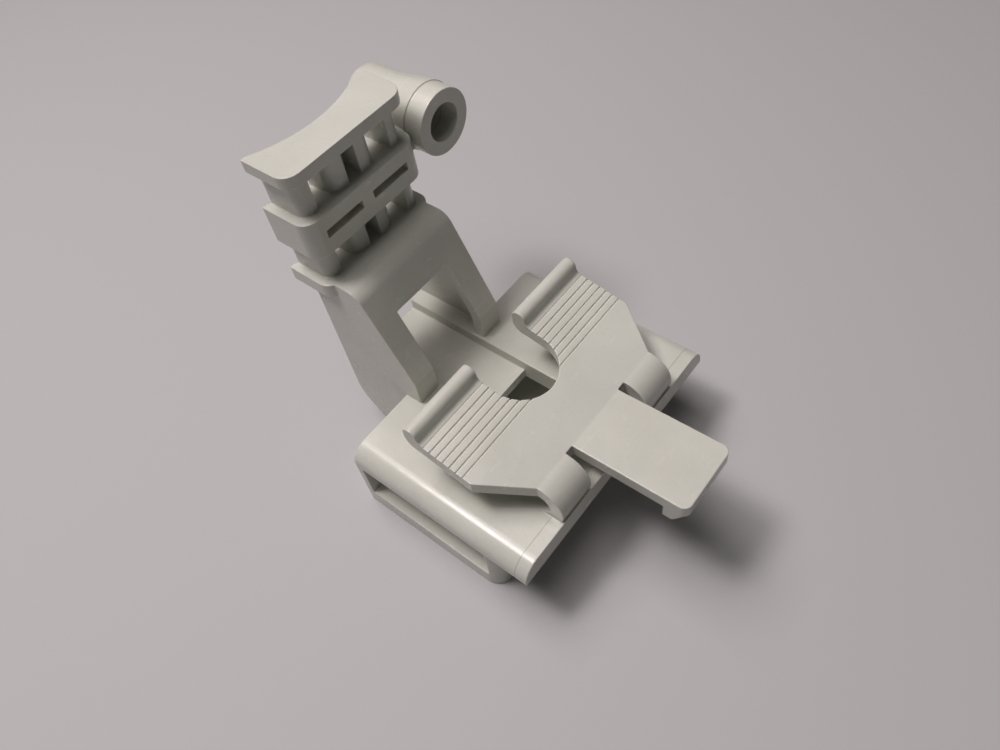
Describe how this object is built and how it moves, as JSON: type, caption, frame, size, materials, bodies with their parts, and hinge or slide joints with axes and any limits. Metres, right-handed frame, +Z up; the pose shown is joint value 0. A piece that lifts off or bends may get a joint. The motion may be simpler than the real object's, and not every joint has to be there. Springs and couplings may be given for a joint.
{
  "type": "spring clamp",
  "caption": "Light grey moulded spring clamp: a grooved two-finger spring jaw with a finger tab on a strap-tunnel base, and an arm that ends in a saddle head with tie slots and a rod tube.",
  "frame": {"origin": "centre of the base's resting face, midway along and across the base plate, on the table", "axes": "+X toward the finger tab, +Y toward the rod tube's side, +Z up from the table"},
  "size_m": [0.0627, 0.0402, 0.048],
  "materials": {
    "grey_plastic": "smooth moulded plastic with a soft sheen"
  },
  "bodies": {
    "frame": {"base_plate": "grey_plastic", "tunnel_floor": "grey_plastic", "tunnel_front_wall": "grey_plastic", "tunnel_back_wall": "grey_plastic", "arm_floor": "grey_plastic", "arm_left_wall": "grey_plastic", "arm_right_wall": "grey_plastic", "arm_left_leg": "grey_plastic", "arm_right_leg": "grey_plastic", "arm_front_panel": "grey_plastic", "arm_shelf": "grey_plastic", "head_lower_flange": "grey_plastic", "lower_waist_left_web": "grey_plastic", "lower_waist_right_web": "grey_plastic", "lower_waist_left_column": "grey_plastic", "lower_waist_right_column": "grey_plastic", "head_band": "grey_plastic", "upper_waist_left_web": "grey_plastic", "upper_waist_right_web": "grey_plastic", "upper_waist_left_column": "grey_plastic", "upper_waist_right_column": "grey_plastic", "head_pad": "grey_plastic", "rod_tube": "grey_plastic", "rod_tube_collar": "grey_plastic", "left_spring_bend": "grey_plastic", "right_spring_bend": "grey_plastic"},
    "jaw": {"jaw_plate": "grey_plastic", "left_fork_arm": "grey_plastic", "right_fork_arm": "grey_plastic", "left_lip": "grey_plastic", "right_lip": "grey_plastic", "finger_tab": "grey_plastic", "finger_tab_nib": "grey_plastic"}
  },
  "joints": [
    {"name": "jaw_flex", "type": "hinge", "parent": "frame", "child": "jaw", "pos_m": [0.011, 0, 0.0142], "axis": [0, 1, 0], "range_deg": [-10, 14], "stiffness_Nm_per_rad": 2.5, "deforming": ["left_spring_bend", "right_spring_bend"]}
  ]
}
